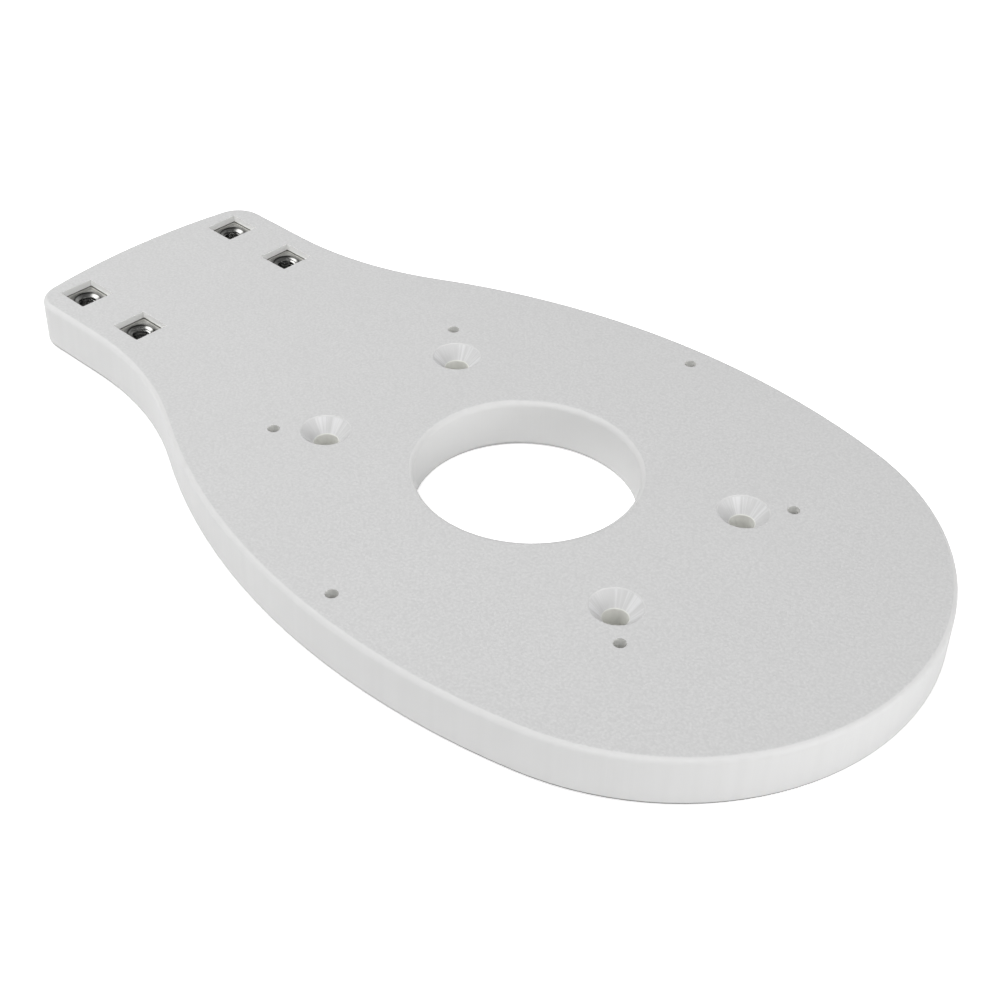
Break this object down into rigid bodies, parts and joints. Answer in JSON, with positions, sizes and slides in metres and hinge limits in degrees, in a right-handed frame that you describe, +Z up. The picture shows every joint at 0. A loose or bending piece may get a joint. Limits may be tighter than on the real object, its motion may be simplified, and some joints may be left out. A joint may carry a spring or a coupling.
{
  "type": "radome mounting plate",
  "caption": "Paddle-shaped white plastic plate that carries a radome, with a cable hole, countersunk screw holes, pilot holes and captive square nuts in its tail.",
  "frame": {"origin": "on the cable hole's axis, in the plane of the plate's underside", "axes": "+Z up, from the underside to the radome's side; +X towards the round nose of the head, -X towards the tail; the plate is the same on both sides of y = 0"},
  "size_m": [0.3684, 0.2038, 0.019],
  "materials": {
    "marine_board": "fine orange-peel sheet face, smooth routed edges",
    "stainless": "satin stainless"
  },
  "bodies": {
    "root": {"mounting_plate": "marine_board", "tail_nut_outer_left": "stainless", "tail_nut_outer_right": "stainless", "tail_nut_inner_left": "stainless", "tail_nut_inner_right": "stainless"}
  },
  "joints": []
}
